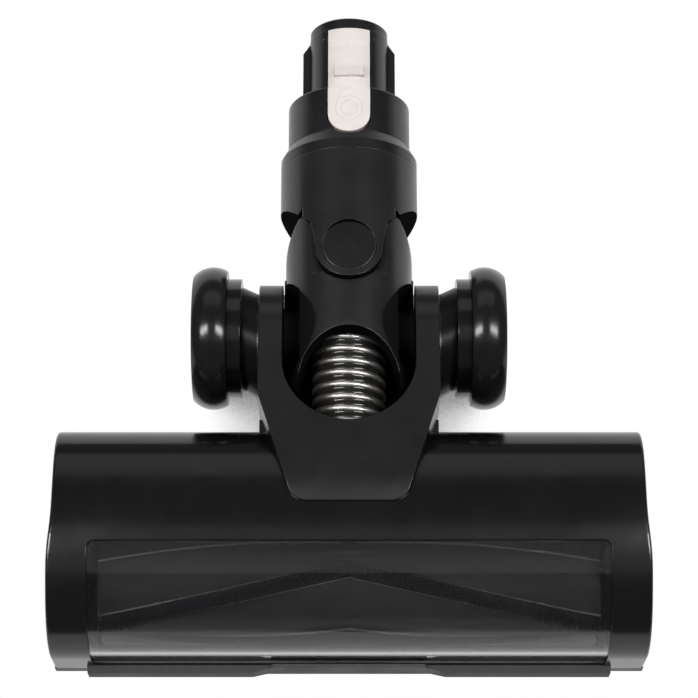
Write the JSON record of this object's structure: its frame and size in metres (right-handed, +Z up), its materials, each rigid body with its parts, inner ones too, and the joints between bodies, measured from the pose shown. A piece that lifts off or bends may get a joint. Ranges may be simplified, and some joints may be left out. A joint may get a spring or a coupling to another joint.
{
  "type": "vacuum floor brush head",
  "caption": "Motor-driven vacuum floor head: brush roller under a smoked window, side wheels, tilting and swivelling neck with a wire-wound hose, and a pipe plug with a release latch.",
  "frame": {"origin": "on the floor, midway between the bumper's front face and the pipe's end, on the head's middle plane", "axes": "+X to the right seen from the front, +Y to the back along the pipe, +Z up"},
  "size_m": [0.2414, 0.2808, 0.0606],
  "materials": {
    "gloss_black": "gloss",
    "satin_black": "satin",
    "smoked_clear": "clear gloss",
    "bumper_rubber": "matte",
    "tyre_rubber": "satin",
    "steel": "bright",
    "bristle": "fibre",
    "latch_white": "satin",
    "contact_brass": "bright"
  },
  "bodies": {
    "head": {"upper_housing": "gloss_black", "window": "smoked_clear", "front_bumper": "bumper_rubber", "base_plate": "satin_black", "rear_squeegee": "bumper_rubber", "housing_screws": "steel", "roller_tunnel": "satin_black", "suction_duct": "satin_black", "roller_bearing_left": "steel", "roller_bearing_right": "steel", "roller_end_cap": "satin_black", "drive_belt": "bumper_rubber", "drive_motor": "steel", "motor_bracket": "satin_black", "yoke_cover": "gloss_black", "yoke_base": "satin_black", "yoke_screws": "steel", "wheel_axle_left": "steel", "wheel_axle_right": "steel", "sole_axle_left": "steel", "sole_axle_right": "steel", "hose_liner": "bumper_rubber", "hose_wire": "steel"},
    "roller": {"roller_core": "satin_black", "bristle_strip_1": "bristle", "bristle_strip_2": "bristle", "bristle_strip_3": "bristle", "bristle_strip_4": "bristle", "roller_plug_left": "satin_black", "roller_plug_right": "satin_black", "roller_shaft": "steel", "roller_pulley": "satin_black"},
    "motor_rotor": {"motor_shaft": "steel", "motor_pulley": "steel"},
    "wheel_left": {"tyre_left": "tyre_rubber", "wheel_hub_left": "gloss_black", "hub_cap_left": "gloss_black"},
    "wheel_right": {"tyre_right": "tyre_rubber", "wheel_hub_right": "gloss_black", "hub_cap_right": "gloss_black"},
    "small_wheel_left": {"sole_wheel_left": "tyre_rubber"},
    "small_wheel_right": {"sole_wheel_right": "tyre_rubber"},
    "neck": {"neck_upper_shell": "satin_black", "neck_lower_shell": "satin_black", "neck_screws": "steel", "hose_clip": "satin_black"},
    "fork": {"fork_shell": "satin_black", "pivot_cap_top": "gloss_black", "pivot_cap_bottom": "gloss_black", "swivel_pin_top": "steel", "swivel_pin_bottom": "steel", "collar_ring": "satin_black", "tube_socket": "satin_black", "pipe": "satin_black", "contact_block": "satin_black", "contact_pins": "contact_brass", "latch_pin": "steel", "latch_spring": "steel"},
    "latch": {"latch_button": "latch_white"}
  },
  "joints": [
    {"name": "roller_spin", "type": "hinge", "parent": "head", "child": "roller", "pos_m": [0, -0.1088, 0.0245], "axis": [1, 0, 0], "continuous": true},
    {"name": "motor_spin", "type": "hinge", "parent": "head", "child": "motor_rotor", "pos_m": [0, -0.0658, 0.027], "axis": [1, 0, 0], "continuous": true},
    {"name": "wheel_left_spin", "type": "hinge", "parent": "head", "child": "wheel_left", "pos_m": [0, -0.0018, 0.03], "axis": [1, 0, 0], "continuous": true},
    {"name": "wheel_right_spin", "type": "hinge", "parent": "head", "child": "wheel_right", "pos_m": [0, -0.0018, 0.03], "axis": [1, 0, 0], "continuous": true},
    {"name": "small_wheel_left_spin", "type": "hinge", "parent": "head", "child": "small_wheel_left", "pos_m": [0, -0.1188, 0.004], "axis": [1, 0, 0], "continuous": true},
    {"name": "small_wheel_right_spin", "type": "hinge", "parent": "head", "child": "small_wheel_right", "pos_m": [0, -0.1188, 0.004], "axis": [1, 0, 0], "continuous": true},
    {"name": "neck_tilt", "type": "hinge", "parent": "head", "child": "neck", "pos_m": [0, -0.0018, 0.03], "axis": [1, 0, 0], "range_deg": [0, 80], "deforming": ["hose_liner", "hose_wire"]},
    {"name": "neck_swivel", "type": "hinge", "parent": "neck", "child": "fork", "pos_m": [0, 0.0292, 0.03], "axis": [0, 0, 1], "range_deg": [-45, 45]},
    {"name": "latch_press", "type": "hinge", "parent": "fork", "child": "latch", "pos_m": [0, 0.1319, 0.042], "axis": [1, 0, 0], "range_deg": [0, 5], "stiffness_Nm_per_rad": 0.6, "springref_deg": -5.73, "deforming": ["latch_spring"]}
  ],
  "couplings": [
    {"joint": "motor_spin", "follows": "roller_spin", "ratio": 1.8333}
  ]
}
